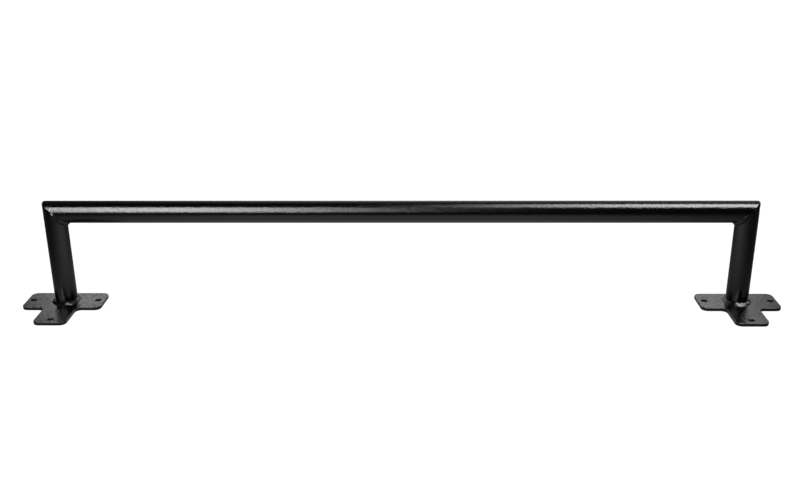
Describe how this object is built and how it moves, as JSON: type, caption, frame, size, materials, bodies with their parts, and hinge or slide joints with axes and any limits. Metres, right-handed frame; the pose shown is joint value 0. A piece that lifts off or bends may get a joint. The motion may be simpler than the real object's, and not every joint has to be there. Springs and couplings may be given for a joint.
{
  "type": "pull up bar",
  "caption": "Wall-mounted pull-up bar: a straight round tube mitred onto short legs, each welded upright to a flat T-shaped plate with screw holes.",
  "frame": {"origin": "on the wall face of the plates (Z = 0), at mid-span of the crossbar, halfway along the depth of the T-shaped plates", "axes": "+X along the crossbar, +Y from the free ends of the plates' stems to their crosspieces, +Z out of the wall towards the crossbar"},
  "size_m": [1.1016, 0.1028, 0.1588],
  "materials": {
    "tube_coat": "semi-gloss black powder coat over steel tube",
    "plate_coat": "semi-gloss black powder coat over steel plate",
    "weld_coat": "black powder coat over rippled weld bead"
  },
  "bodies": {
    "root": {"crossbar": "tube_coat", "left_leg": "tube_coat", "right_leg": "tube_coat", "left_mount_plate": "plate_coat", "right_mount_plate": "plate_coat", "left_mitre_weld": "weld_coat", "right_mitre_weld": "weld_coat", "left_base_weld": "weld_coat", "right_base_weld": "weld_coat"}
  },
  "joints": []
}
